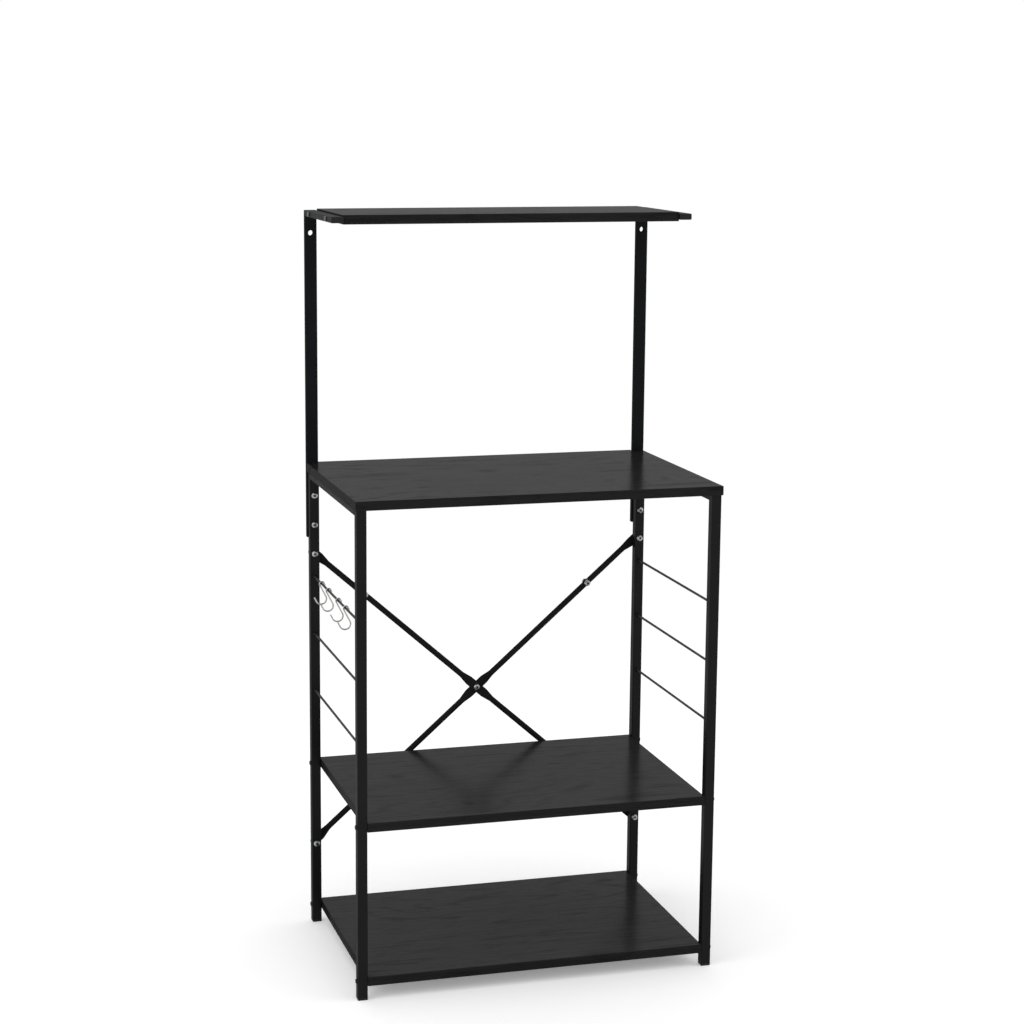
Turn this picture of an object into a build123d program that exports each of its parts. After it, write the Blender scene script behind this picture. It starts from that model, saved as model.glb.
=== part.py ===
from build123d import *
import math
import os

# Open four-tier microwave rack: two welded steel side frames carry three boards, and two flat-tube
# uprights bolted behind the rear posts carry a narrow top shelf on mitred arms.
# Millimetres, +X to the right, +Y to the back, +Z up. The origin is on the floor, in the middle of
# the worktop's width and depth.

os.makedirs("parts", exist_ok=True)

# Boards
worktop_width = 600.0
worktop_depth = 390.0
worktop_top = 805.0
middle_shelf_top = 292.0
bottom_shelf_top = 38.0
top_shelf_depth = 206.0
top_shelf_front_inset = 5.0
overall_height = 1230.0
board_thickness = 15.0
board_edge_radius = 0.8

# Steel tubes and wires of the frame
worktop_overhang = 2.0
post_size = 16.0
rail_height = 10.0
flat_tube_width = 20.0
flat_tube_depth = 10.0
tube_wall = 1.2
tube_corner_radius = 1.5
tube_inner_radius = 0.5
arm_length = 220.0
upright_bottom = 678.0
wire_radius = 2.0
wire_count = 3
top_wire_height = 612.0
wire_spacing = 99.0

# Crossed brace tubes, pressed flat at both ends and where they cross
brace_radius = 5.0
brace_flat_thickness = 2.4
brace_flat_width = 15.6
brace_end_flat = 15.0
brace_middle_flat = 36.0
brace_taper = 18.0
brace_upper_height = 652.0
brace_lower_height = 142.0
brace_tube_bolt_distance = 120.0

# Plastic plugs
foot_thickness = 4.0
foot_edge_radius = 1.2
plug_thickness = 2.0
plug_edge_radius = 0.6
plug_depth = 14.0
plug_rim = 2.0
plug_recess = 0.5

# Bolts, nuts and screws
bolt_radius = 3.0
bolt_head_radius = 5.5
bolt_head_height = 3.3
bolt_socket_flats = 4.0
bolt_socket_depth = 1.8
bolt_end_past_nut = 1.5
nut_flats = 10.0
nut_height = 5.0
nut_edge = 0.6
head_rim = 0.6
upright_bolt_heights = (702.0, 752.0)
screw_radius = 2.0
screw_head_radius = 4.2
screw_head_height = 2.4
screw_slot_length = 4.4
screw_slot_width = 1.1
screw_slot_depth = 1.1
screw_grip = 24.0
worktop_screw_grip = 11.0
worktop_screw_spacing = 220.0
top_screw_spacing = 136.0
wall_hole_radius = 4.5
wall_hole_below_top = 40.0

# S-hooks on the left top wire
hook_places = (111.0, 57.0, -19.0, -76.0)
hook_rod_radius = 1.25
hook_loop_play = 0.6
hook_gap = 0.3
hook_inner_leg = 5.0
hook_leg = 22.0
hook_curl_radius = 9.0
hook_tip = 8.0
hook_end_radius = 0.5

# Clearances between pieces that fit together
board_end_gap = 0.3
shelf_to_brace_gap = 1.0
notch_clearance = 0.5
hole_clearance = 0.2
plug_clearance = 0.1
thread_clearance = 0.1
screw_tip_room = 1.0

# Places that follow from the sizes above
post_x = worktop_width / 2 - worktop_overhang - post_size / 2
front_face = -worktop_depth / 2 + worktop_overhang
rear_face = worktop_depth / 2 - worktop_overhang - flat_tube_depth
front_post_y = front_face + post_size / 2
rear_post_y = rear_face - post_size / 2
rail_front = front_face + post_size
rail_rear = rear_face - post_size
upright_rear = rear_face + flat_tube_depth
worktop_bottom = worktop_top - board_thickness
arm_front = upright_rear - arm_length
arm_middle = overall_height - board_thickness / 2
arm_top = arm_middle + flat_tube_depth / 2
arm_bottom = arm_middle - flat_tube_depth / 2
wall_hole_height = overall_height - wall_hole_below_top
shelf_tops = (middle_shelf_top, bottom_shelf_top)
shelf_screw_heights = [top - board_thickness / 2 for top in shelf_tops]
shelf_half_length = post_x - post_size / 2 - board_end_gap
shelf_depth = rear_face - shelf_to_brace_gap - front_face
shelf_middle_y = front_face + shelf_depth / 2
top_shelf_half_length = post_x - flat_tube_width / 2 - board_end_gap
top_shelf_middle_y = arm_front + top_shelf_front_inset + top_shelf_depth / 2
arm_middle_y = arm_front + arm_length / 2
top_screw_places = [arm_middle_y + end * top_screw_spacing / 2 for end in (-1, 1)]
rail_middle_y = (rail_front + rail_rear) / 2
worktop_screw_places = [rail_middle_y + end * worktop_screw_spacing / 2 for end in (-1, 1)]
hole_radius = bolt_radius + hole_clearance
screw_hole_radius = screw_radius + hole_clearance
sides = {"left": -1, "right": 1}


def save(piece, name):
    piece.part.label = name
    export_step(piece.part, f"parts/{name}.step")


def tube_outline(width, depth):
    """Section of a rectangular steel tube, drawn in the sketch that is open."""
    RectangleRounded(width, depth, tube_corner_radius)
    inner_width = width - 2 * tube_wall
    inner_depth = depth - 2 * tube_wall
    RectangleRounded(inner_width, inner_depth, tube_inner_radius, mode=Mode.SUBTRACT)


def plug_outline(width, depth):
    """Section of the stem of a plastic plug that fits inside such a tube."""
    shrink = 2 * (tube_wall + plug_clearance)
    RectangleRounded(width - shrink, depth - shrink, tube_inner_radius)


def facing_back(y):
    """Upright plane at y whose normal points to the back, with local X to the left."""
    return Plane(origin=(0, y, 0), x_dir=(-1, 0, 0), z_dir=(0, 1, 0))


def facing_front(y):
    """Upright plane at y whose normal points to the front, with local X to the right."""
    return Plane(origin=(0, y, 0), x_dir=(1, 0, 0), z_dir=(0, -1, 0))


def moved_to(plane, x, z):
    """The same upright plane with its origin at x and z."""
    return Plane(origin=(x, plane.origin.Y, z), x_dir=plane.x_dir, z_dir=plane.z_dir)


# Worktop: laminated board with a notch at each rear corner for the uprights.
notch_width = worktop_width / 2 - post_x + flat_tube_width / 2 + notch_clearance
notch_depth = worktop_depth / 2 - rear_face + notch_clearance
with BuildPart() as worktop:
    with BuildSketch(Plane.XY.offset(worktop_bottom)):
        Rectangle(worktop_width, worktop_depth)
        for side in sides.values():
            notch_x = side * (worktop_width - notch_width) / 2
            with Locations((notch_x, (worktop_depth - notch_depth) / 2)):
                Rectangle(notch_width, notch_depth, mode=Mode.SUBTRACT)
    extrude(amount=board_thickness)
    fillet(worktop.edges().filter_by(Axis.Z, reverse=True), board_edge_radius)
    with BuildSketch(Plane.XY.offset(worktop_bottom)):
        for side in sides.values():
            with Locations(*[(side * post_x, y) for y in worktop_screw_places]):
                Circle(screw_hole_radius)
    extrude(amount=worktop_screw_grip + screw_tip_room, mode=Mode.SUBTRACT)
save(worktop, "worktop")

# Middle and bottom shelves: boards held between the posts, with screw holes in their ends.
for name, top in zip(("middle_shelf", "bottom_shelf"), shelf_tops):
    with BuildPart() as shelf:
        with BuildSketch(Plane.XY.offset(top - board_thickness)):
            with Locations((0, shelf_middle_y)):
                Rectangle(2 * shelf_half_length, shelf_depth)
        extrude(amount=board_thickness)
        fillet(shelf.edges().filter_by(Axis.Z, reverse=True), board_edge_radius)
        for side in sides.values():
            with BuildSketch(Plane.YZ.offset(side * shelf_half_length)):
                with Locations(*[(y, top - board_thickness / 2) for y in (front_post_y, rear_post_y)]):
                    Circle(screw_hole_radius)
            extrude(amount=-side * (screw_grip + screw_tip_room), mode=Mode.SUBTRACT)
    save(shelf, name)

# Top shelf: a narrow board between the two arms, with screw holes in its ends.
with BuildPart() as top_shelf:
    with BuildSketch(Plane.XY.offset(overall_height - board_thickness)):
        with Locations((0, top_shelf_middle_y)):
            Rectangle(2 * top_shelf_half_length, top_shelf_depth)
    extrude(amount=board_thickness)
    fillet(top_shelf.edges().filter_by(Axis.Z, reverse=True), board_edge_radius)
    for side in sides.values():
        with BuildSketch(Plane.YZ.offset(side * top_shelf_half_length)):
            with Locations(*[(y, arm_middle) for y in top_screw_places]):
                Circle(screw_hole_radius)
        extrude(amount=-side * (screw_grip + screw_tip_room), mode=Mode.SUBTRACT)
save(top_shelf, "top_shelf")

# Four posts of square tube, open at both ends, with cross holes for the shelf screws. The rear
# ones also have holes from front to back for the braces and the uprights.
rear_bolt_heights = (brace_upper_height, brace_lower_height) + upright_bolt_heights
for row, post_y in (("front", front_post_y), ("rear", rear_post_y)):
    for side_name, side in sides.items():
        with BuildPart() as post:
            with BuildSketch(Plane((side * post_x, post_y, foot_thickness))):
                tube_outline(post_size, post_size)
            extrude(amount=worktop_bottom - foot_thickness)
            with BuildSketch(Plane.YZ.offset(side * post_x)):
                with Locations(*[(post_y, height) for height in shelf_screw_heights]):
                    Circle(screw_hole_radius)
            extrude(amount=post_size, both=True, mode=Mode.SUBTRACT)
            if row == "rear":
                with BuildSketch(facing_front(post_y)):
                    with Locations(*[(side * post_x, height) for height in rear_bolt_heights]):
                        Circle(hole_radius)
                extrude(amount=post_size, both=True, mode=Mode.SUBTRACT)
        save(post, f"{row}_{side_name}_post")

        # Foot: a plastic plug with a rounded sole, pushed into the post's lower end.
        with BuildPart() as foot:
            with BuildSketch(Plane((side * post_x, post_y, 0))):
                RectangleRounded(post_size, post_size, tube_corner_radius)
            extrude(amount=foot_thickness)
            fillet(foot.faces().sort_by(Axis.Z)[0].edges(), foot_edge_radius)
            with BuildSketch(Plane((side * post_x, post_y, foot_thickness))):
                plug_outline(post_size, post_size)
            extrude(amount=plug_depth)
        save(foot, f"{row}_{side_name}_foot")

# Top rails: tubes welded between the posts of each side, level with their upper ends.
for side_name, side in sides.items():
    with BuildPart() as rail:
        with BuildSketch(facing_front(rail_rear)):
            with Locations((side * post_x, worktop_bottom - rail_height / 2)):
                tube_outline(post_size, rail_height)
        extrude(amount=rail_rear - rail_front)
        with BuildSketch(Plane.XY.offset(worktop_bottom)):
            with Locations(*[(side * post_x, y) for y in worktop_screw_places]):
                Circle(screw_hole_radius)
        extrude(amount=-rail_height, mode=Mode.SUBTRACT)
    save(rail, f"{side_name}_top_rail")

# Side wires: round rods welded between the facing sides of the posts.
for side_name, side in sides.items():
    for number in range(wire_count):
        with BuildPart() as wire:
            with BuildSketch(facing_front(rail_rear)):
                with Locations((side * post_x, top_wire_height - number * wire_spacing)):
                    Circle(wire_radius)
            extrude(amount=rail_rear - rail_front)
        save(wire, f"{side_name}_wire_{number + 1}")

# Uprights: flat tubes bolted behind the rear posts, cut at the top for the mitred arms.
upright_y = rear_face + flat_tube_depth / 2
for side_name, side in sides.items():
    mitre = Plane(origin=(side * post_x, rear_face, arm_bottom), x_dir=(1, 0, 0), z_dir=(0, -1, 1))
    with BuildPart() as upright:
        with BuildSketch(Plane((side * post_x, upright_y, upright_bottom + plug_thickness))):
            tube_outline(flat_tube_width, flat_tube_depth)
        extrude(amount=arm_top - upright_bottom - plug_thickness)
        split(bisect_by=mitre, keep=Keep.BOTTOM)
        with BuildSketch(facing_front(upright_y)):
            with Locations(*[(side * post_x, height) for height in upright_bolt_heights]):
                Circle(hole_radius)
            with Locations((side * post_x, wall_hole_height)):
                Circle(wall_hole_radius)
        extrude(amount=flat_tube_depth, both=True, mode=Mode.SUBTRACT)
    save(upright, f"{side_name}_upright")

    # Arm: the same tube laid flat, welded to the upright along the mitre.
    with BuildPart() as arm:
        with BuildSketch(facing_front(upright_rear)):
            with Locations((side * post_x, arm_middle)):
                tube_outline(flat_tube_width, flat_tube_depth)
        extrude(amount=arm_length - plug_thickness)
        split(bisect_by=mitre, keep=Keep.TOP)
        with BuildSketch(Plane.YZ.offset(side * post_x)):
            with Locations(*[(y, arm_middle) for y in top_screw_places]):
                Circle(screw_hole_radius)
        extrude(amount=flat_tube_width, both=True, mode=Mode.SUBTRACT)
    save(arm, f"{side_name}_arm")

    # Plugs that close the upright's lower end and the arm's front end, with a sunk panel in the cap.
    plug_seats = {
        "upright": Plane(origin=(side * post_x, upright_y, upright_bottom + plug_thickness)),
        "arm": moved_to(facing_back(arm_front + plug_thickness), side * post_x, arm_middle),
    }
    for tube_name, seat in plug_seats.items():
        with BuildPart() as plug:
            with BuildSketch(seat):
                RectangleRounded(flat_tube_width, flat_tube_depth, tube_corner_radius)
            extrude(amount=-plug_thickness)
            cap_face = plug.faces().sort_by(Axis(seat.origin, seat.z_dir))[0]
            fillet(cap_face.edges(), plug_edge_radius)
            with BuildSketch(seat.offset(-plug_thickness)):
                Rectangle(flat_tube_width - 2 * plug_rim, flat_tube_depth - 2 * plug_rim)
            extrude(amount=plug_recess, mode=Mode.SUBTRACT)
            with BuildSketch(seat):
                plug_outline(flat_tube_width, flat_tube_depth)
            extrude(amount=plug_depth)
        save(plug, f"{side_name}_{tube_name}_plug")

# Braces: round tubes from one rear post's upper bolt to the other's lower bolt. The end flats lie
# against the posts, and the two middle flats lie against each other.
brace_y = rear_face + brace_radius
brace_middle_height = (brace_upper_height + brace_lower_height) / 2
brace_half_rise = (brace_upper_height - brace_lower_height) / 2
brace_half_length = math.hypot(post_x, brace_half_rise)
end_flat_offset = brace_flat_thickness / 2 - brace_radius
round_start = brace_middle_flat / 2 + brace_taper
round_end = brace_half_length - brace_end_flat - brace_taper
tube_bolt_share = 1 - brace_tube_bolt_distance / brace_half_length
for upper_name, upper_side in sides.items():
    along = Vector(upper_side * post_x, 0, brace_half_rise).normalized()
    across = Vector(along.Z, 0, -along.X)
    crossing = Vector(0, brace_y, brace_middle_height)
    middle_offset = upper_side * brace_flat_thickness / 2
    with BuildPart() as brace:
        with BuildSketch(Plane(origin=crossing, x_dir=across, z_dir=along)):
            with Locations((0, middle_offset)):
                Rectangle(brace_flat_width, brace_flat_thickness)
        extrude(amount=brace_middle_flat / 2, both=True)
        for end in (-1, 1):
            section = Plane(origin=crossing, x_dir=across, z_dir=along)
            with BuildSketch(section.offset(end * brace_middle_flat / 2)):
                with Locations((0, middle_offset)):
                    Rectangle(brace_flat_width, brace_flat_thickness)
            with BuildSketch(section.offset(end * round_start)):
                Circle(brace_radius)
            loft()
            with BuildSketch(section.offset(end * round_start)):
                Circle(brace_radius)
            extrude(amount=end * (round_end - round_start))
            with BuildSketch(section.offset(end * round_end)):
                Circle(brace_radius)
            with BuildSketch(section.offset(end * (round_end + brace_taper))):
                with Locations((0, end_flat_offset)):
                    Rectangle(brace_flat_width, brace_flat_thickness)
            loft()
            with BuildSketch(section.offset(end * (round_end + brace_taper))):
                with Locations((0, end_flat_offset)):
                    Rectangle(brace_flat_width, brace_flat_thickness)
            extrude(amount=end * brace_end_flat)
            with BuildSketch(facing_front(rear_face)):
                with Locations((end * upper_side * post_x, brace_middle_height + end * brace_half_rise)):
                    Circle(brace_flat_width / 2)
            extrude(amount=-brace_flat_thickness)
        with BuildSketch(facing_front(brace_y)):
            with Locations((0, brace_middle_height)):
                Circle(hole_radius)
            for share in (-1, tube_bolt_share, 1):
                hole_height = brace_middle_height + share * brace_half_rise
                with Locations((share * upper_side * post_x, hole_height)):
                    Circle(hole_radius)
        extrude(amount=2 * brace_radius, both=True, mode=Mode.SUBTRACT)
    save(brace, f"brace_from_upper_{upper_name}")


def socket_bolts(seats, length):
    """Button-head bolts with a hexagon socket, one on each seat, with the head on the seat's normal."""
    with BuildPart() as bolts:
        for seat in seats:
            outward = Axis(seat.origin, seat.z_dir)
            with BuildSketch(seat):
                Circle(bolt_head_radius)
            extrude(amount=bolt_head_height)
            rim = bolts.edges(Select.LAST).sort_by(outward)[-1]
            fillet(rim, bolt_head_height - head_rim)
            with BuildSketch(seat):
                Circle(bolt_radius)
            extrude(amount=-length)
            with BuildSketch(seat.offset(bolt_head_height)):
                RegularPolygon(bolt_socket_flats / 2, 6, major_radius=False)
            extrude(amount=-bolt_socket_depth, mode=Mode.SUBTRACT)
    return bolts


def hex_nuts(seats):
    """Hexagon nuts, one on each seat, with the free face on the seat's normal."""
    with BuildPart() as nuts:
        for seat in seats:
            with BuildSketch(seat):
                RegularPolygon(nut_flats / 2, 6, major_radius=False)
                Circle(bolt_radius + thread_clearance, mode=Mode.SUBTRACT)
            extrude(amount=nut_height)
            free_face = nuts.faces(Select.LAST).sort_by(Axis(seat.origin, seat.z_dir))[-1]
            chamfer(free_face.outer_wire().edges(), nut_edge)
    return nuts


def pan_screws(seats, length):
    """Pan-head screws with a cross recess, one on each seat, with the head on the seat's normal."""
    with BuildPart() as screws:
        for seat in seats:
            outward = Axis(seat.origin, seat.z_dir)
            with BuildSketch(seat):
                Circle(screw_head_radius)
            extrude(amount=screw_head_height)
            rim = screws.edges(Select.LAST).sort_by(outward)[-1]
            fillet(rim, screw_head_height - head_rim)
            with BuildSketch(seat):
                Circle(screw_radius)
            extrude(amount=-length)
            with BuildSketch(seat.offset(screw_head_height)):
                Rectangle(screw_slot_length, screw_slot_width)
                Rectangle(screw_slot_width, screw_slot_length)
            extrude(amount=-screw_slot_depth, mode=Mode.SUBTRACT)
    return screws


# Bolts and nuts: the heads stand on the fronts of the rear posts and of the braces, and the nuts
# are behind.
upright_places = [(side * post_x, height) for side in sides.values() for height in upright_bolt_heights]
brace_heights = (brace_upper_height, brace_lower_height)
brace_end_places = [(side * post_x, height) for side in sides.values() for height in brace_heights]
tube_bolt_height = brace_middle_height + tube_bolt_share * brace_half_rise
tube_bolt_places = [(side * tube_bolt_share * post_x, tube_bolt_height) for side in sides.values()]
crossing_places = [(0, brace_middle_height)]
bolted_joints = {
    "upright": (upright_places, rail_rear, upright_rear),
    "brace_end": (brace_end_places, rail_rear, rear_face + brace_flat_thickness),
    "brace_tube": (tube_bolt_places, brace_y - brace_radius, brace_y + brace_radius),
    "brace_crossing": (
        crossing_places,
        brace_y - brace_flat_thickness,
        brace_y + brace_flat_thickness,
    ),
}
for joint_name, (places, head_y, nut_y) in bolted_joints.items():
    bolt_length = nut_y - head_y + nut_height + bolt_end_past_nut
    head_seats = [moved_to(facing_front(head_y), x, z) for x, z in places]
    save(socket_bolts(head_seats, bolt_length), f"{joint_name}_bolts")
    nut_seats = [moved_to(facing_back(nut_y), x, z) for x, z in places]
    save(hex_nuts(nut_seats), f"{joint_name}_nuts")

# Screws: through the posts into the shelves' ends, through the arms into the top shelf's ends, and
# up through the top rails into the worktop.
shelf_seats = []
top_shelf_seats = []
worktop_seats = []
for side in sides.values():
    for post_y in (front_post_y, rear_post_y):
        for height in shelf_screw_heights:
            spot = (side * (post_x + post_size / 2), post_y, height)
            shelf_seats.append(Plane(origin=spot, x_dir=(0, 1, 0), z_dir=(side, 0, 0)))
    for y in top_screw_places:
        spot = (side * (post_x + flat_tube_width / 2), y, arm_middle)
        top_shelf_seats.append(Plane(origin=spot, x_dir=(0, 1, 0), z_dir=(side, 0, 0)))
    for y in worktop_screw_places:
        spot = (side * post_x, y, worktop_bottom - rail_height)
        worktop_seats.append(Plane(origin=spot, x_dir=(1, 0, 0), z_dir=(0, 0, -1)))
save(pan_screws(shelf_seats, post_size + board_end_gap + screw_grip), "shelf_screws")
save(pan_screws(top_shelf_seats, flat_tube_width + board_end_gap + screw_grip), "top_shelf_screws")
save(pan_screws(worktop_seats, rail_height + worktop_screw_grip), "worktop_screws")

# S-hooks: bent from one rod, with a small loop over the wire and a large curl on the outside.
hook_loop_radius = wire_radius + hook_loop_play + hook_rod_radius
hook_loop_drop = hook_loop_play - hook_gap


def bent_hook(seat):
    """S-hook on a plane with its origin on the wire's axis, local X inwards and local Y up."""
    curl_middle = (-hook_loop_radius - hook_curl_radius, -hook_leg)
    tip_x = curl_middle[0] - hook_curl_radius
    with BuildPart() as hook:
        with BuildLine(seat) as bend:
            Line((hook_loop_radius, -hook_inner_leg), (hook_loop_radius, -hook_loop_drop))
            CenterArc((0, -hook_loop_drop), hook_loop_radius, 0, 180)
            Line((-hook_loop_radius, -hook_loop_drop), (-hook_loop_radius, -hook_leg))
            CenterArc(curl_middle, hook_curl_radius, 0, -180)
            Line((tip_x, -hook_leg), (tip_x, -hook_leg + hook_tip))
        rod_path = bend.wires()[0]
        with BuildSketch(Plane(origin=rod_path @ 0, z_dir=rod_path % 0)):
            Circle(hook_rod_radius)
        sweep(path=rod_path)
        ends = hook.faces().filter_by(GeomType.PLANE)
        fillet(ends.edges(), hook_end_radius)
    return hook


# A free hook hangs with its centre of mass straight below the wire.
upright_hook = bent_hook(Plane(origin=(0, 0, 0), x_dir=(1, 0, 0), z_dir=(0, -1, 0)))
balance = upright_hook.part.center(CenterOf.MASS)
hang_angle = math.atan2(-balance.X, -balance.Z)
hang_direction = (math.cos(hang_angle), 0, math.sin(hang_angle))
for number, place in enumerate(hook_places, start=1):
    wire_spot = (sides["left"] * post_x, place, top_wire_height)
    hook = bent_hook(Plane(origin=wire_spot, x_dir=hang_direction, z_dir=(0, -1, 0)))
    save(hook, f"hook_{number}")
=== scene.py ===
import math
import random

import bmesh
import bpy
from mathutils import Matrix, Vector


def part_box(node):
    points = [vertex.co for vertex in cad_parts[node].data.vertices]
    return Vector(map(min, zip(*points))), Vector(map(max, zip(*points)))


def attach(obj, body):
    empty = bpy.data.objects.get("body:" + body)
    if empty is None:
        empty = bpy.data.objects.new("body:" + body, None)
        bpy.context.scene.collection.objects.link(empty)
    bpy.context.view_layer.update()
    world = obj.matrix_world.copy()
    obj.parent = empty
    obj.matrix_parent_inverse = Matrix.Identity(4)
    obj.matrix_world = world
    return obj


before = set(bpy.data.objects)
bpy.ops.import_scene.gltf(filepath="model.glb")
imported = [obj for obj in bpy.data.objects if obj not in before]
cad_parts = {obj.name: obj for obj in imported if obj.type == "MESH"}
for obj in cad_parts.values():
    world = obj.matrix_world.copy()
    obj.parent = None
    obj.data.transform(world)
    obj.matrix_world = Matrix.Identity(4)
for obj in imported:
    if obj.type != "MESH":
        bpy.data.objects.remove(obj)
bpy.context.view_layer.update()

# Posts: four lengths of square steel tube that stand at the corners of the rack. They are sawn,
# drilled, welded into two side frames and then coated with black powder, which is baked on and
# leaves a fine orange-peel skin.
post_names = [f"{row}_{side}_post" for row in ("front", "rear") for side in ("left", "right")]


def new_material(name, **values):
    """A material whose shader has these plain values on its own sockets."""
    material = bpy.data.materials.new(name)
    material.use_nodes = True
    shader = material.node_tree.nodes["Principled BSDF"]
    for socket, value in values.items():
        shader.inputs[socket.replace("_", " ")].default_value = value
    return material, shader


def add_node(owner, kind, inputs, **settings):
    """A shader node with its settings, and with each input set to a value or linked to an output."""
    node = owner.node_tree.nodes.new("ShaderNode" + kind)
    for name, value in settings.items():
        setattr(node, name, value)
    for socket, value in inputs.items():
        if isinstance(value, bpy.types.NodeSocket):
            owner.node_tree.links.new(value, node.inputs[socket])
        else:
            node.inputs[socket].default_value = value
    return node


def surface_place(material, stretch=(1, 1, 1)):
    """The place on the piece in metres, stretched so that a pattern runs along one side."""
    coordinates = add_node(material, "TexCoord", {})
    place = {"Vector": coordinates.outputs["Object"], "Scale": stretch}
    return add_node(material, "Mapping", place).outputs["Vector"]


def speckle(material, place, per_metre, detail=2.0, distortion=0.0):
    """Cloudy noise with so many patches to a metre of the place."""
    pattern = {"Vector": place, "Scale": per_metre, "Detail": detail, "Distortion": distortion}
    return add_node(material, "TexNoise", pattern).outputs["Fac"]


def shades(material, pattern, *stops):
    """A colour that follows the pattern, from stops of a position and a grey or a colour."""
    ramp = add_node(material, "ValToRGB", {"Fac": pattern})
    while len(ramp.color_ramp.elements) < len(stops):
        ramp.color_ramp.elements.new(0.5)
    for element, (position, grey) in zip(ramp.color_ramp.elements, stops):
        element.position = position
        element.color = (*grey, 1) if isinstance(grey, tuple) else (grey, grey, grey, 1)
    return ramp.outputs["Color"]


def between(material, pattern, low, high, start=0.3, end=0.7):
    """The pattern's part from start to end spread over the values low to high."""
    spread = {"Value": pattern, "From Min": start, "From Max": end, "To Min": low, "To Max": high}
    return add_node(material, "MapRange", spread).outputs["Result"]


def combine(material, way, one, other):
    """Two colours put together over the whole surface, by ADD or MULTIPLY."""
    mix = add_node(material, "Mix", {0: 1.0, 6: one, 7: other}, data_type="RGBA", blend_type=way)
    return mix.outputs[2]


def connect(material, shader, **sources):
    """Links each source to the shader's socket of that name."""
    for socket, source in sources.items():
        material.node_tree.links.new(source, shader.inputs[socket.replace("_", " ")])


def relief(material, height, depth, strength):
    """A bump of the given depth in metres."""
    bump = {"Height": height, "Distance": depth, "Strength": strength}
    return add_node(material, "Bump", bump).outputs["Normal"]


def give_material(material, *names):
    """Puts the finish on these pieces of the solid model."""
    for name in names:
        for material_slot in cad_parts[name].material_slots:
            material_slot.material = material


def powder_coat(name, dark, light, gloss, coat_roughness=0.32):
    """Baked black powder: orange-peel skin, uneven gloss and a few paler specks."""
    unevenness = 0.2
    speck_grey = 0.012
    material, shader = new_material(name, Specular_IOR_Level=0.0, Coat_Roughness=coat_roughness)
    place = surface_place(material)
    clouds = speckle(material, place, per_metre=22.0, detail=4.0)
    specks = speckle(material, place, per_metre=1400.0, detail=1.0)
    skin = speckle(material, place, per_metre=620.0)
    tone = shades(material, clouds, (0.32, dark), (0.68, light))
    flecks = shades(material, specks, (0.72, 0.0), (0.78, speck_grey))
    orange_peel = relief(material, skin, depth=0.00012, strength=0.35)
    connect(
        material, shader,
        Base_Color=combine(material, "ADD", tone, flecks),
        Coat_Weight=between(material, clouds, gloss * (1 + unevenness), gloss * (1 - unevenness)),
        Normal=orange_peel,
        Coat_Normal=orange_peel,
    )
    return material


black_coat = powder_coat(
    "black_powder_coat",
    dark=(0.0058, 0.0059, 0.006), light=(0.0076, 0.0077, 0.0079), gloss=0.18,
)
give_material(black_coat, *post_names)

# Feet: moulded plastic plugs pushed into the posts' lower ends, with a rounded sole that spares
# the floor. The mould leaves a dull, finely pitted skin, and wear leaves paler scuffs.
foot_names = [name.replace("post", "foot") for name in post_names]


def moulded_plastic(name, dark, light):
    """Dull plastic with a pitted skin and scuffs."""
    pits_per_metre = 1100.0
    material, shader = new_material(name, Specular_IOR_Level=0.2)
    place = surface_place(material)
    pits = add_node(material, "TexVoronoi", {"Vector": place, "Scale": pits_per_metre})
    scuffs = speckle(material, place, per_metre=160.0, detail=5.0, distortion=1.5)
    connect(
        material, shader,
        Base_Color=shades(material, scuffs, (0.35, dark), (0.6, dark), (0.75, light)),
        Roughness=between(material, scuffs, low=0.48, high=0.66),
        Normal=relief(material, pits.outputs["Distance"], depth=0.00008, strength=0.4),
    )
    return material


plug_plastic = moulded_plastic("black_moulded_plastic", dark=0.009, light=0.02)
give_material(plug_plastic, *foot_names)

# Top rails and side wires: flat tube and round rod welded between the two posts of each side
# before coating. The welds are left as they fell: a ring of bead round each wire's end and a
# rippled run under each end of a rail, all under the same powder as the posts.
sides = {"left": -1, "right": 1}
rail_names = [f"{side}_top_rail" for side in sides]
wire_names = [f"{side}_wire_{number}" for side in sides for number in (1, 2, 3)]
low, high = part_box("right_wire_1")
post_x = low.lerp(high, 0.5).x
low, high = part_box("left_wire_1")
wire_front = low.y
wire_rear = high.y
wire_radius = (high.z - low.z) / 2
chance = random.Random(31)

give_material(black_coat, *rail_names)
# The wires carry the posts' black powder, painted several times lighter here: a painted highlight for
# the light that the thin round rods catch.
lit_wire_coat = powder_coat(
    "lit_black_wire_coat",
    dark=(0.026, 0.0263, 0.0268), light=(0.036, 0.0364, 0.037), gloss=0.26, coat_roughness=0.26,
)
give_material(lit_wire_coat, *wire_names)


def new_piece(name, shape, material, body, smooth=False):
    """Turns a finished bmesh into a piece that rides on a body."""
    bmesh.ops.recalc_face_normals(shape, faces=shape.faces)
    for face in shape.faces:
        face.smooth = smooth
    mesh = bpy.data.meshes.new(name)
    shape.to_mesh(mesh)
    shape.free()
    mesh.materials.append(material)
    piece = bpy.data.objects.new(name, mesh)
    bpy.context.scene.collection.objects.link(piece)
    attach(piece, body)


def spun_ring(shape, outline, spot, axis, steps):
    """Spins a closed outline of (along, radius) points round the axis through the spot."""
    turn = Vector((0, 0, 1)).rotation_difference(axis)
    corners = [shape.verts.new(spot + turn @ Vector((radius, 0, along))) for along, radius in outline]
    edges = [shape.edges.new(pair) for pair in zip(corners, corners[1:] + corners[:1])]
    whole_turn = {"angle": 2 * math.pi, "steps": steps, "use_merge": True}
    bmesh.ops.spin(shape, geom=corners + edges, cent=spot, axis=axis, **whole_turn)


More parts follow.
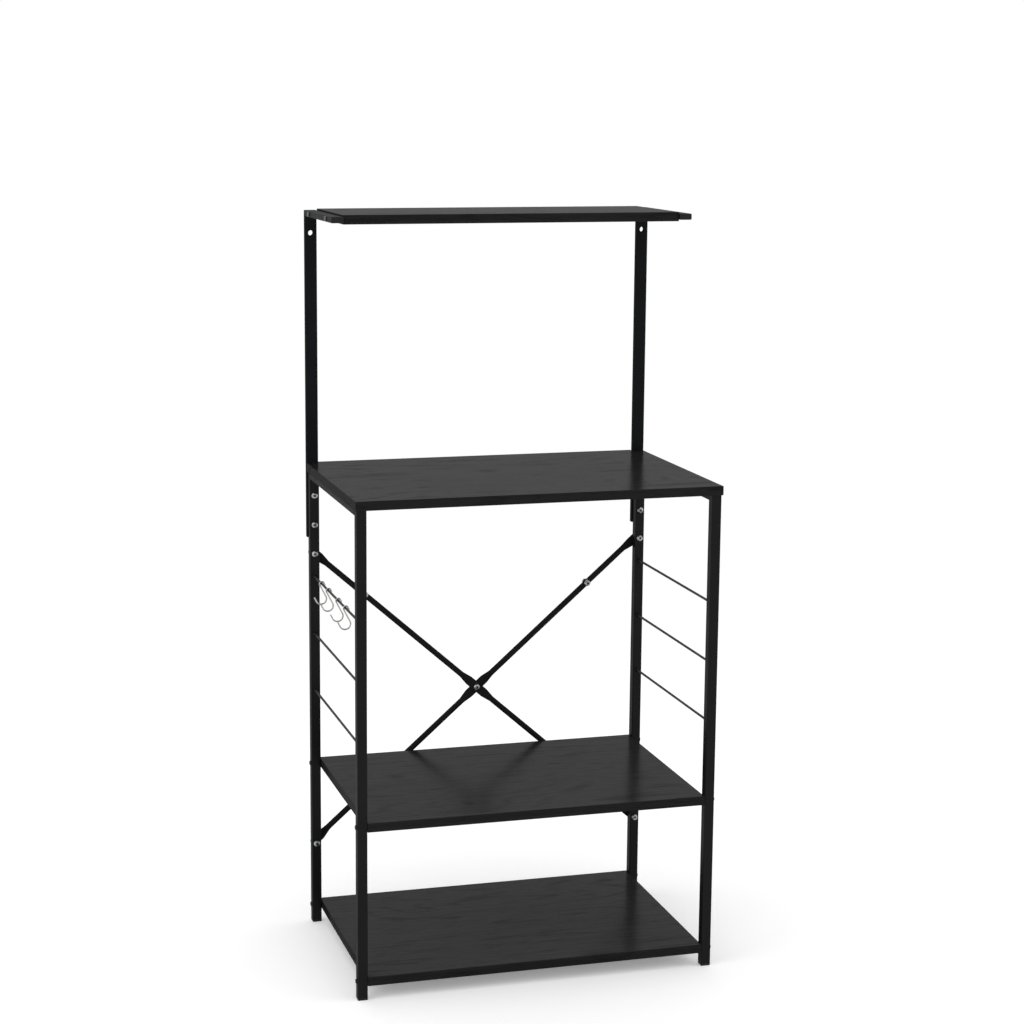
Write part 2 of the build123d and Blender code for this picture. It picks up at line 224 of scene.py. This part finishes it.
ring_reach = 0.0026
ring_spread = 0.0022
ring_sink = 0.0003
ring_slope = ((0.85, 0.12), (0.5, 0.34), (0.2, 0.72))
ring_steps = 20
ring_unevenness = 0.00012
wire_welds = bmesh.new()
for name in wire_names:
    low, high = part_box(name)
    for end_y, along in ((wire_front, 1), (wire_rear, -1)):
        spot = Vector(((low.x + high.x) / 2, end_y, (low.z + high.z) / 2))
        reach = ring_reach * chance.uniform(0.8, 1.1)
        spread = ring_spread * chance.uniform(0.85, 1.1)
        outline = [
            (-ring_sink, wire_radius - ring_sink),
            (reach, wire_radius - ring_sink),
            *[(reach * far, wire_radius + spread * out) for far, out in ring_slope],
            (0, wire_radius + spread),
            (-ring_sink, wire_radius + spread),
        ]
        spun_ring(wire_welds, outline, spot, Vector((0, along, 0)), ring_steps)
for corner in wire_welds.verts:
    corner.co.x += chance.uniform(-ring_unevenness, ring_unevenness)
    corner.co.z += chance.uniform(-ring_unevenness, ring_unevenness)
new_piece("wire_welds", wire_welds, black_coat, "frame", smooth=True)


def weld_run(shape, start, end, radius, ripples):
    """A rippled run of weld between two points: a row of flattened drops that lap each other."""
    flattened = Matrix.Diagonal((0.8, 1, 1, 1))
    for number in range(ripples):
        spot = start.lerp(end, (number + 0.5) / ripples)
        size = radius * chance.uniform(0.9, 1.1)
        drop = Matrix.Translation(spot) @ flattened
        bmesh.ops.create_uvsphere(shape, u_segments=10, v_segments=7, radius=size, matrix=drop)


weld_inset = 0.002
rail_bead_radius = 0.0016
rail_ripples = 9
rail_welds = bmesh.new()
for name in rail_names:
    low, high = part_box(name)
    for end_y in (low.y, high.y):
        start = Vector((low.x + weld_inset, end_y, low.z))
        end = Vector((high.x - weld_inset, end_y, low.z))
        weld_run(rail_welds, start, end, rail_bead_radius, rail_ripples)
new_piece("rail_welds", rail_welds, black_coat, "frame", smooth=True)

# Worktop and shelves: pressed board faced with a black wood-grain laminate, its pores running
# along the length, and with a thin band glued round the edges. The worktop lies on the top rails
# and the shelves sit between the posts.
band_thickness = 0.0008
glue_line_width = 0.0002
# Painted light and shade: each board's face is made lighter or darker by its own factor, the lower
# shelves lighter against the shade of the boards above, the worktop darker against its bright sheen.
board_shades = {"worktop": 0.8, "middle_shelf": 1.25, "bottom_shelf": 1.42}
grain_step = 1.7


def work_out(owner, operation, *values):
    """The result of a sum on values of the pattern."""
    return add_node(owner, "Math", dict(enumerate(values)), operation=operation).outputs["Value"]


def grain_noise(material, place, along, across, detail, shift=(0, 0, 0)):
    """Noise drawn out along the grain, with so many patches per metre along and across it."""
    drawn_out = {"Vector": place, "Scale": (along, across, across), "Location": shift}
    stretched = add_node(material, "Mapping", drawn_out).outputs["Vector"]
    return speckle(material, stretched, per_metre=1.0, detail=detail)


def turned_to_grain(material, place, end_facing):
    """The place on the board, with the grain's run as its first axis on the end bands too."""
    nearly_square = 0.7
    x, y, z = add_node(material, "SeparateXYZ", {"Vector": place}).outputs
    turned = add_node(material, "CombineXYZ", {0: y, 1: x, 2: z}).outputs["Vector"]
    endwise = work_out(material, "ABSOLUTE", end_facing)
    on_end = work_out(material, "GREATER_THAN", endwise, nearly_square)
    return add_node(material, "Mix", {0: on_end, 4: place, 5: turned}, data_type="VECTOR").outputs[1]


def depth_from_rim(material, place, board):
    """How far a place lies in from the nearest of a board's four edges, in metres."""
    low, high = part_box(board)
    middle = (low + high) / 2
    half = (high - low) / 2
    off_middle = add_node(material, "VectorMath", {0: place, 1: middle}, operation="SUBTRACT").outputs[0]
    spread = add_node(material, "VectorMath", {0: off_middle}, operation="ABSOLUTE").outputs[0]
    depth = add_node(material, "VectorMath", {0: half, 1: spread}, operation="SUBTRACT").outputs[0]
    from_end, from_side, _ = add_node(material, "SeparateXYZ", {"Vector": depth}).outputs
    return work_out(material, "MINIMUM", from_end, from_side)


def laminate(name, board, seed, shade):
    """Black wood-grain laminate with a satin face, and a duller band of the same grain on the edges."""
    figure_greys = ((0.34, 0.0135), (0.5, 0.016), (0.66, 0.0185))
    rings_over_drift = 115.0
    ring_waver = 6.0
    ring_contrast = 0.07
    most_gathered = 0.16
    pore_floor = 0.34
    pore_rim = 0.45
    pore_tone = 0.6
    pore_gloss = 0.66
    band_tone = 0.78
    band_gloss = 0.42
    glue_tone = 0.35
    material, shader = new_material(name, Specular_IOR_Level=0.0, Coat_IOR=1.6, Coat_Roughness=0.21)
    place = surface_place(material)
    facing = add_node(material, "NewGeometry", {}).outputs["Normal"]
    end_facing, _, up_facing = add_node(material, "SeparateXYZ", {"Vector": facing}).outputs
    levelness = work_out(material, "ABSOLUTE", up_facing)
    on_face = between(material, levelness, low=0.0, high=1.0, start=0.3, end=0.8)

    grain = turned_to_grain(material, place, end_facing)
    drift = grain_noise(material, grain, along=1.3, across=8, detail=1.0, shift=(seed, seed, 0))
    wander = grain_noise(material, grain, along=4, across=70, detail=4.0, shift=(seed, 0, 0))
    streaks = grain_noise(material, grain, along=2.6, across=150, detail=5.0, shift=(0, seed, 0))
    flames = grain_noise(material, grain, along=10, across=40, detail=2.0, shift=(0, 0, seed))
    pores = grain_noise(material, grain, along=40, across=2200, detail=2.0)
    waver = work_out(material, "MULTIPLY", wander, ring_waver)
    growth = work_out(material, "MULTIPLY_ADD", drift, rings_over_drift, waver)
    rings = work_out(material, "SINE", growth)
    figure = work_out(material, "MULTIPLY_ADD", rings, ring_contrast, streaks)
    ring_lines = between(material, rings, low=0.0, high=1.0, start=0.3, end=0.95)
    in_flames = between(material, flames, low=0.0, high=most_gathered, start=0.34, end=0.58)
    gathered = work_out(material, "MULTIPLY", ring_lines, in_flames)
    open_pores = work_out(material, "SUBTRACT", pores, gathered)

    off_glue = work_out(material, "SUBTRACT", depth_from_rim(material, place, board), band_thickness)
    from_glue = work_out(material, "ABSOLUTE", off_glue)
    # The grain's greys are scaled by the board's factor, painted light and shade; the edge band's tone
    # is divided by it, so every board's edges keep one tone.
    tone = shades(material, figure, *[(position, grey * shade) for position, grey in figure_greys])
    for dark in (
        shades(material, open_pores, (pore_floor, pore_tone), (pore_rim, 1.0)),
        between(material, on_face, low=band_tone / shade, high=1.0, start=0.0, end=1.0),
        between(material, from_glue, low=glue_tone, high=1.0, start=0.0, end=glue_line_width),
    ):
        tone = combine(material, "MULTIPLY", tone, dark)
    satin = between(material, streaks, low=0.19, high=0.172)
    for dull in (
        between(material, open_pores, low=pore_gloss, high=1.0, start=pore_floor, end=pore_rim),
        between(material, on_face, low=band_gloss, high=1.0, start=0.0, end=1.0),
    ):
        satin = work_out(material, "MULTIPLY", satin, dull)
    pored = relief(material, pores, depth=0.0001, strength=0.3)
    connect(material, shader, Base_Color=tone, Coat_Weight=satin, Normal=pored, Coat_Normal=pored)
    return material


for number, (board, shade) in enumerate(board_shades.items()):
    give_material(laminate(f"black_laminate_{board}", board, grain_step * number, shade), board)

# Shelf and worktop screws: pan-head steel screws blacked by an oxide bath, driven through the
# posts into the shelves' ends and up through the top rails into the worktop. Handling rubs the
# black a little paler in spots.


def blacked_steel(name):
    """Steel with a thin black oxide skin that is rubbed in spots."""
    material, shader = new_material(name, Metallic=0.6, Specular_IOR_Level=0.3)
    place = surface_place(material)
    rubbed = speckle(material, place, per_metre=900.0, detail=4.0, distortion=0.6)
    connect(
        material, shader,
        Base_Color=shades(material, rubbed, (0.4, 0.012), (0.62, 0.02), (0.75, 0.06)),
        Roughness=between(material, rubbed, low=0.36, high=0.55),
        Normal=relief(material, rubbed, depth=0.00003, strength=0.3),
    )
    return material


give_material(blacked_steel("black_oxide_screw"), "shelf_screws", "worktop_screws")

# Braces: two round tubes pressed flat at their ends and where they cross, bolted behind the rear
# posts to keep the rack square. They are coated with black powder that is duller than the posts'.
brace_coat = powder_coat(
    "black_brace_coat",
    dark=(0.0119, 0.012, 0.0123), light=(0.0157, 0.0159, 0.0163), gloss=0.02,
)
give_material(brace_coat, "brace_from_upper_left", "brace_from_upper_right")

# Bolts and nuts: zinc-plated steel button-head bolts with hexagon nuts behind, at the uprights and
# at the braces. About one turn of each bolt's thread shows past its nut, and a thin near-black sheet
# lines each hexagon socket in the heads as painted shade.
nut_flats = 0.01
upright_bolt_z = (0.702, 0.752)
brace_end_z = (0.652, 0.142)
low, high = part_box("brace_tube_nuts")
tube_bolt_x = high.x - nut_flats / 2 / math.cos(math.pi / 6)
tube_bolt_z = (low.z + high.z) / 2
low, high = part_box("brace_crossing_nuts")
crossing_z = (low.z + high.z) / 2
bolt_places = {
    "upright": [(side * post_x, z) for side in sides.values() for z in upright_bolt_z],
    "brace_end": [(side * post_x, z) for side in sides.values() for z in brace_end_z],
    "brace_tube": [(side * tube_bolt_x, tube_bolt_z) for side in sides.values()],
    "brace_crossing": [(0.0, crossing_z)],
}


def plated_steel(name, dark, light, low_roughness, high_roughness):
    """Plated steel: a cloudy tone and fine turning marks."""
    marks_per_metre = (300, 4200, 300)
    material, shader = new_material(name, Metallic=1.0)
    clouds = speckle(material, surface_place(material), per_metre=260.0, detail=3.0)
    marks = speckle(material, surface_place(material, marks_per_metre), per_metre=1.0)
    connect(
        material, shader,
        Base_Color=shades(material, clouds, (0.3, dark), (0.7, light)),
        Roughness=between(material, clouds, low_roughness, high_roughness),
        Normal=relief(material, marks, depth=0.00001, strength=0.4),
    )
    return material


# The bolts' and nuts' zinc swings from dark to bright in clouds about a head wide: partly the plating's
# uneven tone, partly painted glints and painted reflection of dark surroundings.
zinc = plated_steel(
    "zinc_plating",
    dark=(0.1, 0.103, 0.108), light=(0.5, 0.51, 0.525), low_roughness=0.24, high_roughness=0.36,
)
# A near-black metal for the sheet that lines each socket: painted shade in the recess.
socket_shade_metal = plated_steel(
    "socket_shade_metal",
    dark=(0.012, 0.012, 0.0125), light=(0.07, 0.07, 0.072), low_roughness=0.3, high_roughness=0.45,
)
for joint in bolt_places:
    give_material(zinc, f"{joint}_bolts", f"{joint}_nuts")

socket_flats = 0.004
socket_depth = 0.0018
socket_lining = 0.0001
lined_share = 0.8
socket_radius = socket_flats / 2 / math.cos(math.pi / 6) - socket_lining
bolt_radius = 0.003
thread_outline = ((-0.0002, -0.0003), (0.0001, 0.00022), (0.0004, -0.0003))
thread_pitch = 0.001
thread_turns = 1.05
thread_steps = 22
threads = bmesh.new()
socket_shade_sheets = bmesh.new()
for joint, places in bolt_places.items():
    nut_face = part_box(f"{joint}_nuts")[1].y
    head_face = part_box(f"{joint}_bolts")[0].y
    for x, z in places:
        # Each socket gets a dark sheet just inside its floor and most of its walls: painted shade.
        floor_spot = Vector((x, head_face + socket_depth - socket_lining, z))
        facing = Matrix.Translation(floor_spot) @ Matrix.Rotation(math.pi / 2, 4, "X")
        rim = bmesh.ops.create_circle(socket_shade_sheets, segments=6, radius=socket_radius, matrix=facing)["verts"]
        bottom = bmesh.ops.contextual_create(socket_shade_sheets, geom=rim)["faces"]
        walls = bmesh.ops.extrude_edge_only(socket_shade_sheets, edges=bottom[0].edges[:])["geom"]
        lifted = [part for part in walls if isinstance(part, bmesh.types.BMVert)]
        lift = (0, socket_lining - socket_depth * lined_share, 0)
        bmesh.ops.translate(socket_shade_sheets, verts=lifted, vec=lift)
        start = Vector((x, nut_face, z))
        ridge = [
            threads.verts.new(start + Vector((bolt_radius + out, along, 0)))
            for along, out in thread_outline
        ]
        profile = threads.faces.new(ridge)
        bmesh.ops.spin(
            threads, geom=[profile], cent=start, axis=(0, 1, 0),
            dvec=(0, thread_pitch / thread_steps, 0),
            angle=2 * math.pi * thread_turns, steps=round(thread_steps * thread_turns),
        )
new_piece("bolt_threads", threads, zinc, "frame")
bmesh.ops.solidify(socket_shade_sheets, geom=socket_shade_sheets.faces[:], thickness=socket_lining / 2)
new_piece("bolt_socket_shade_sheets", socket_shade_sheets, socket_shade_metal, "frame")

# Uprights and arms: two flat steel tubes, each cut to a mitre and welded at the top to an arm that
# reaches forward over the worktop. The inside of the corner keeps its weld. The black powder is
# glossier on the arms, and plastic plugs close the open ends.
tube_tones = {"dark": (0.0077, 0.0082, 0.0088), "light": (0.0103, 0.011, 0.0117)}
upright_coat = powder_coat("black_upright_coat", **tube_tones, gloss=0.045)
arm_coat = powder_coat("black_arm_coat", **tube_tones, gloss=0.18)
for side in sides:
    give_material(upright_coat, f"{side}_upright")
    give_material(arm_coat, f"{side}_arm")
    give_material(plug_plastic, f"{side}_upright_plug", f"{side}_arm_plug")

mitre_bead_radius = 0.0018
mitre_ripples = 11
mitre_welds = bmesh.new()
for side in sides:
    corner_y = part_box(f"{side}_upright")[0].y
    low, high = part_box(f"{side}_arm")
    start = Vector((low.x + weld_inset, corner_y, low.z))
    end = Vector((high.x - weld_inset, corner_y, low.z))
    weld_run(mitre_welds, start, end, mitre_bead_radius, mitre_ripples)
new_piece("mitre_welds", mitre_welds, upright_coat, "frame", smooth=True)

# Top shelf: a narrow board of the same laminate, hung between the arms on four pan-head screws
# driven through them into its ends. The screws get the bolts' zinc made darker and a little rougher:
# painted shade and painted dark reflection on their heads.
top_laminate = laminate("black_laminate_top_shelf", "top_shelf", seed=6.1, shade=1.0)
give_material(top_laminate, "top_shelf")
shaded_zinc = plated_steel(
    "shaded_zinc_plating",
    dark=(0.05, 0.051, 0.053), light=(0.16, 0.163, 0.168), low_roughness=0.3, high_roughness=0.42,
)
give_material(shaded_zinc, "top_shelf_screws")

# Hooks: four S-hooks bent from nickel-plated steel rod. They hang loose on the left side's top
# wire and swing on it.
nickel = plated_steel(
    "nickel_plating",
    dark=(0.28, 0.272, 0.26), light=(0.44, 0.43, 0.41), low_roughness=0.12, high_roughness=0.2,
)
give_material(nickel, "hook_1", "hook_2", "hook_3", "hook_4")

# Floor: a plain disc of white studio floor under the rack. It keeps the rack's shadow, glows a
# little to the eye but not on the rack, and fades into the white behind.
floor_reach = 5.0
fade_start = 1.1
fade_end = 3.2
floor_grey = 0.9
floor_glow = 0.24


def seen_directly(owner):
    """One for what the camera sees itself, by a reflection or through glass, and nought for light."""
    path = add_node(owner, "LightPath", {}).outputs
    seen_or_mirrored = work_out(owner, "MAXIMUM", path["Is Camera Ray"], path["Is Glossy Ray"])
    return work_out(owner, "MAXIMUM", seen_or_mirrored, path["Is Transmission Ray"])


disc = bmesh.new()
bmesh.ops.create_circle(disc, cap_ends=True, segments=96, radius=floor_reach)
floor_mesh = bpy.data.meshes.new("studio_floor")
disc.to_mesh(floor_mesh)
disc.free()
floor_white, paint = new_material("studio_white", Roughness=0.9, Specular_IOR_Level=0.0)
paint.inputs["Base Color"].default_value = (floor_grey, floor_grey, floor_grey, 1)
from_middle = add_node(floor_white, "VectorMath", {0: surface_place(floor_white)}, operation="LENGTH")
fade = between(floor_white, from_middle.outputs["Value"], 0.0, 1.0, fade_start, fade_end)
glow_strength = work_out(floor_white, "MULTIPLY", seen_directly(floor_white), floor_glow)
glow = add_node(floor_white, "Emission", {"Strength": glow_strength})
whitened = add_node(floor_white, "AddShader", {0: paint.outputs["BSDF"], 1: glow.outputs["Emission"]})
clear = add_node(floor_white, "BsdfTransparent", {})
faded = add_node(
    floor_white, "MixShader",
    {0: fade, 1: whitened.outputs["Shader"], 2: clear.outputs["BSDF"]},
)
floor_surface = floor_white.node_tree.nodes["Material Output"].inputs["Surface"]
floor_white.node_tree.links.new(faded.outputs["Shader"], floor_surface)
floor_mesh.materials.append(floor_white)
floor = bpy.data.objects.new("studio_floor", floor_mesh)
bpy.context.scene.collection.objects.link(floor)

# Studio: white all round for the camera and for reflections, plain soft light on the rack, and
# large soft lamps from the left, the right and above.
ambient_strength = 0.85
studio_white = (1, 1, 1, 1)
world = bpy.data.worlds.new("studio")
world.use_nodes = True
world.node_tree.nodes.clear()
bpy.context.scene.world = world
ambient = add_node(world, "Background", {"Color": studio_white, "Strength": ambient_strength})
backdrop = add_node(world, "Background", {"Color": studio_white, "Strength": 1.0})
either = add_node(
    world, "MixShader",
    {0: seen_directly(world), 1: ambient.outputs["Background"], 2: backdrop.outputs["Background"]},
)
add_node(world, "OutputWorld", {"Surface": either.outputs["Shader"]})


def soft_lamp(name, spot, power):
    """A large square lamp that faces the middle of the rack."""
    rack_middle = Vector((0, 0, 0.6))
    lamp = bpy.data.lights.new(name, "AREA")
    lamp.shape = "SQUARE"
    lamp.size = 2.4
    lamp.energy = power
    holder = bpy.data.objects.new(name, lamp)
    holder.location = spot
    holder.rotation_euler = (rack_middle - Vector(spot)).to_track_quat("-Z", "Y").to_euler()
    bpy.context.scene.collection.objects.link(holder)


soft_lamp("left_lamp", spot=(-2.8, -0.9, 1.7), power=20)
soft_lamp("right_lamp", spot=(2.6, -1.6, 1.6), power=12)
soft_lamp("top_lamp", spot=(0, 0.2, 3.2), power=8)

# Camera: at the photograph's viewing angle, a little left of the front and above the worktop. A
# small shift of the lens puts the rack where it stands in the photograph.
turned_right = 0.26978
looking_down = 0.17514
leaning = 0.00548
eye = bpy.data.cameras.new("camera")
eye.sensor_width = 36
eye.lens = 79.692
eye.shift_x = 0.04
eye.shift_y = -0.017
camera = bpy.data.objects.new("camera", eye)
heading = Matrix.Rotation(-turned_right, 3, "Z")
tilt = Matrix.Rotation(math.pi / 2 - looking_down, 3, "X")
lean = Matrix.Rotation(leaning, 3, "Z")
camera.rotation_euler = (heading @ tilt @ lean).to_euler()
camera.location = (-1.03575, -3.51608, 1.41841)
bpy.context.scene.collection.objects.link(camera)
bpy.context.scene.camera = camera
bpy.context.scene.view_settings.view_transform = "Standard"

bpy.context.view_layer.update()
